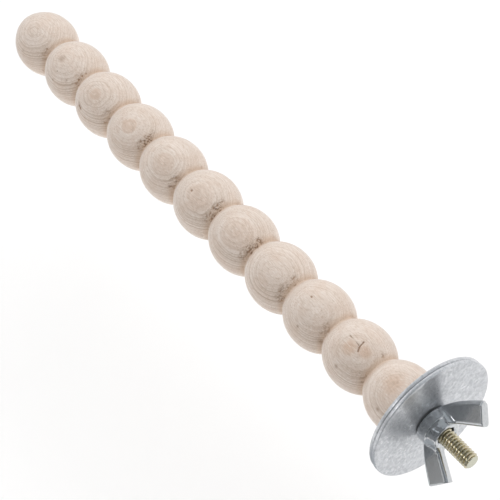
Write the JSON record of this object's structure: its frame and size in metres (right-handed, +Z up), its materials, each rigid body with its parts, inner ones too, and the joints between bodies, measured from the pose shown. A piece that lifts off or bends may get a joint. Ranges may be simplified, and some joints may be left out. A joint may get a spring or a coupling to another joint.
{
  "type": "wooden bird perch",
  "caption": "Beaded wooden bird perch: a turned stick on a hanger bolt, with broad washers and a wing nut that clamp it to the wires of a cage.",
  "frame": {"origin": "on the bolt's axis, on the clamping face of the inner washer, where the cage wires are gripped", "axes": "+X out of the bolt's end, so that the stick lies along -X; +Z up"},
  "size_m": [0.2783, 0.0513, 0.0511],
  "materials": {
    "pale_wood": "bare turned hardwood, unfinished",
    "yellow_zinc": "yellow zinc plated steel",
    "washer_zinc": "mottled bright zinc plated steel",
    "nut_zinc": "polished bright zinc plated steel"
  },
  "bodies": {
    "perch": {"turned_perch": "pale_wood", "hanger_bolt": "yellow_zinc"},
    "inner_washer": {"inner_washer": "washer_zinc"},
    "outer_washer": {"outer_washer": "washer_zinc"},
    "wing_nut": {"wing_nut": "nut_zinc"}
  },
  "joints": [
    {"name": "inner_washer_spin", "type": "hinge", "parent": "perch", "child": "inner_washer", "pos_m": [0, 0, 0], "axis": [1, 0, 0], "continuous": true},
    {"name": "outer_washer_slide", "type": "slide", "parent": "perch", "child": "outer_washer", "axis": [1, 0, 0], "range_m": [0, 0.0127]},
    {"name": "wing_nut_turn", "type": "hinge", "parent": "outer_washer", "child": "wing_nut", "pos_m": [0, 0, 0], "axis": [1, 0, 0], "range_deg": [0, 3600]}
  ],
  "couplings": [
    {"joint": "wing_nut_turn", "follows": "outer_washer_slide", "rad_per_m": 4947.4}
  ]
}
